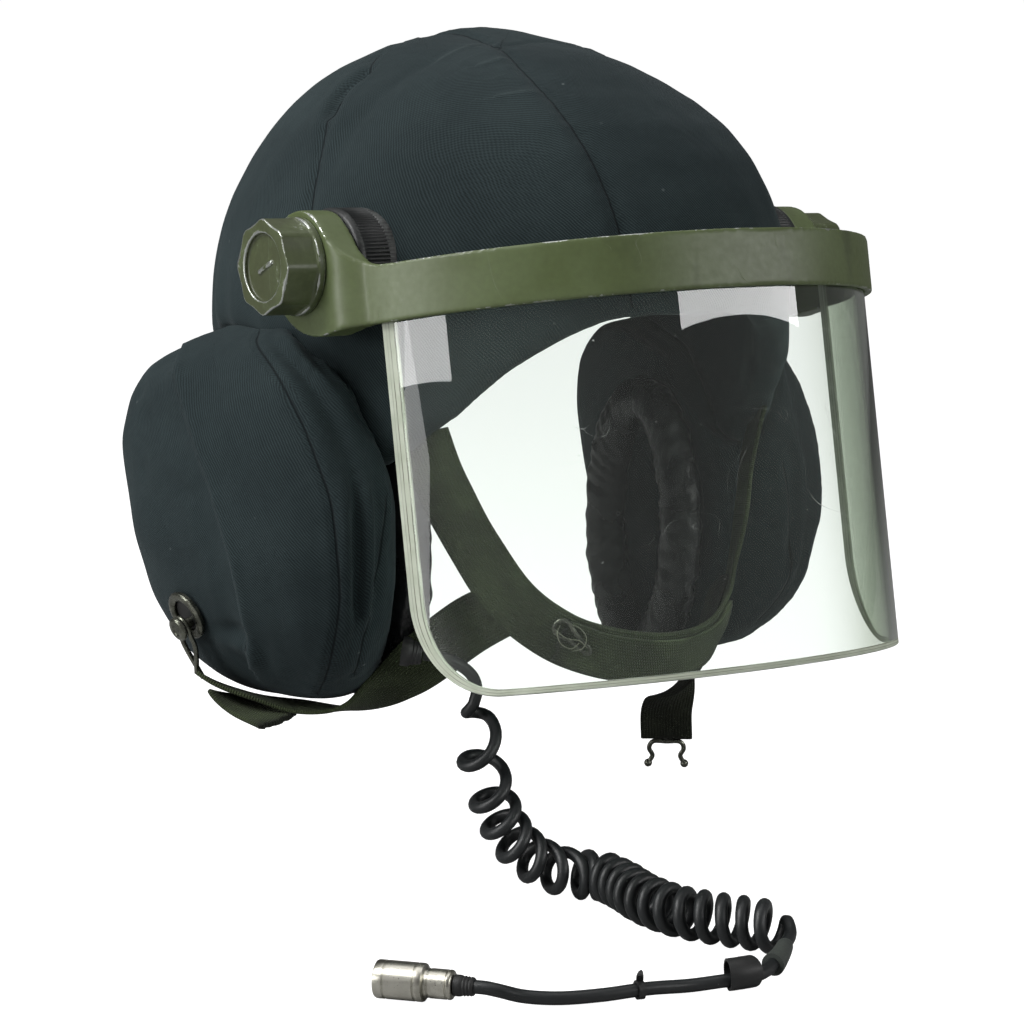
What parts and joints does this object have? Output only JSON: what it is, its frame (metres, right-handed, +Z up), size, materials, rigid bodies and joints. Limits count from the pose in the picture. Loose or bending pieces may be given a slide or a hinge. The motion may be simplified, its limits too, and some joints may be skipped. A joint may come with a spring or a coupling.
{
  "type": "crew helmet with visor and lead",
  "caption": "Padded cloth helmet with ear covers, a clear visor that swings up on side pivots, a chin strap and a curly lead with a plug.",
  "frame": {"origin": "where the inside of the crown rests on top of the head, on the middle plane", "axes": "+Z up, the face looks along -Y, the wearer's right is -X"},
  "size_m": [0.342, 0.3845, 0.3592],
  "materials": {
    "cloth": "dark blue-black woven cotton, matt",
    "vinyl": "black vinyl, wrinkled, half gloss",
    "black_plastic": "black moulded plastic, ribbed rim",
    "painted_metal": "olive paint, half gloss, worn to bright metal at the edges",
    "clear_shield": "clear moulded sheet with hair scratches",
    "dark_steel": "dull plated steel, darkened",
    "webbing": "olive woven webbing, matt",
    "black_rubber": "black rubber, half gloss",
    "nickel": "turned nickel-plated brass, worn"
  },
  "bodies": {
    "root": {"crown_cover": "cloth", "ear_cover_right": "cloth", "ear_cover_left": "cloth", "ear_cushion_right": "vinyl", "ear_cushion_left": "vinyl", "pivot_disc_right": "black_plastic", "pivot_disc_left": "black_plastic", "eyelet_right": "dark_steel", "eyelet_left": "dark_steel", "hook_stud_right": "dark_steel", "hook_stud_left": "dark_steel", "wire_hook_right": "dark_steel", "wire_hook_left": "dark_steel", "chin_hook": "dark_steel", "chin_strap": "webbing", "chin_pad": "webbing", "rear_strap_right": "webbing", "rear_strap_left": "webbing", "cord_gland": "black_rubber", "cord_lead": "black_rubber", "cord_coil": "black_rubber", "cord_tail": "black_rubber", "bend_sleeve": "black_rubber", "tail_sleeve": "black_rubber", "cord_tie": "black_rubber", "plug_boot": "black_rubber", "plug": "nickel"},
    "visor": {"visor_band": "painted_metal", "visor_shield": "clear_shield"},
    "knob_right": {"knob_right": "painted_metal"},
    "knob_left": {"knob_left": "painted_metal"}
  },
  "joints": [
    {"name": "visor_pivot", "type": "hinge", "parent": "root", "child": "visor", "pos_m": [0, -0.061, -0.087], "axis": [-1, 0, 0], "range_deg": [0, 80]},
    {"name": "knob_right_turn", "type": "hinge", "parent": "root", "child": "knob_right", "pos_m": [-0.14, -0.061, -0.087], "axis": [-1, 0, 0], "range_deg": [0, 180]},
    {"name": "knob_left_turn", "type": "hinge", "parent": "root", "child": "knob_left", "pos_m": [0.14, -0.061, -0.087], "axis": [1, 0, 0], "range_deg": [0, 180]}
  ]
}
